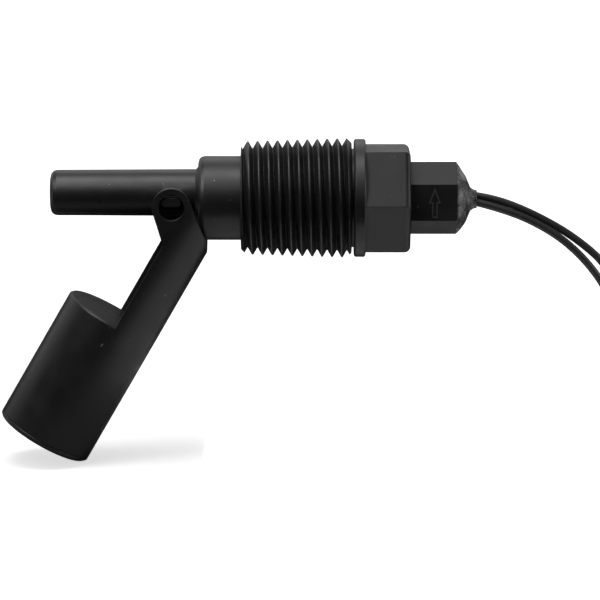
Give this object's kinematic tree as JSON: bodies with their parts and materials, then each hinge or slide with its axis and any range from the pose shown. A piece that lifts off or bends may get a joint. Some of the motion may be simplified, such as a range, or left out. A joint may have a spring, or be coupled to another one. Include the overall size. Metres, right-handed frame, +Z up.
{
  "type": "float level switch",
  "caption": "Side-mounted float level switch with a hinged hollow float, tapered pipe thread, wrench hexagon and two wire leads.",
  "frame": {"origin": "centre of the flange's seat face on the thread axis", "axes": "+X out of the tank towards the leads, +Z up, hinge axis along Y, float on the -X side"},
  "size_m": [0.1395, 0.0269, 0.0601],
  "materials": {
    "black_plastic": "satin black moulded polypropylene",
    "potting_resin": "glossy black potting resin",
    "lead_jacket": "smooth black insulation",
    "inner_jacket": "smooth black insulation",
    "tinned_copper": "tinned copper strands",
    "solder": "bright solder",
    "reed_alloy": "plated nickel-iron",
    "reed_glass": "clear pale green glass",
    "heat_shrink": "matt black heat-shrink",
    "ferrite": "dark grey ferrite",
    "cable_tie": "black nylon"
  },
  "bodies": {
    "switch": {"switch_body": "black_plastic", "potting_compound": "potting_resin", "reed_glass": "reed_glass", "reed_blade_front": "reed_alloy", "reed_blade_rear": "reed_alloy", "solder_joint_front": "solder", "solder_joint_rear": "solder", "sleeve_front": "heat_shrink", "sleeve_rear": "heat_shrink", "conductor_a": "tinned_copper", "conductor_b": "tinned_copper", "lead_a_inner": "inner_jacket", "lead_b_inner": "inner_jacket", "lead_a": "lead_jacket", "lead_b": "lead_jacket", "lead_coil": "lead_jacket", "lead_a_bare_end": "tinned_copper", "lead_b_bare_end": "tinned_copper", "coil_tie": "cable_tie"},
    "float": {"float_shell": "black_plastic", "float_end_cap": "black_plastic", "float_magnet": "ferrite", "magnet_retainer": "black_plastic"}
  },
  "joints": [
    {"name": "float_hinge", "type": "hinge", "parent": "switch", "child": "float", "pos_m": [-0.03307, 0, -0.00046], "axis": [0, 1, 0], "range_deg": [0, 75]}
  ]
}
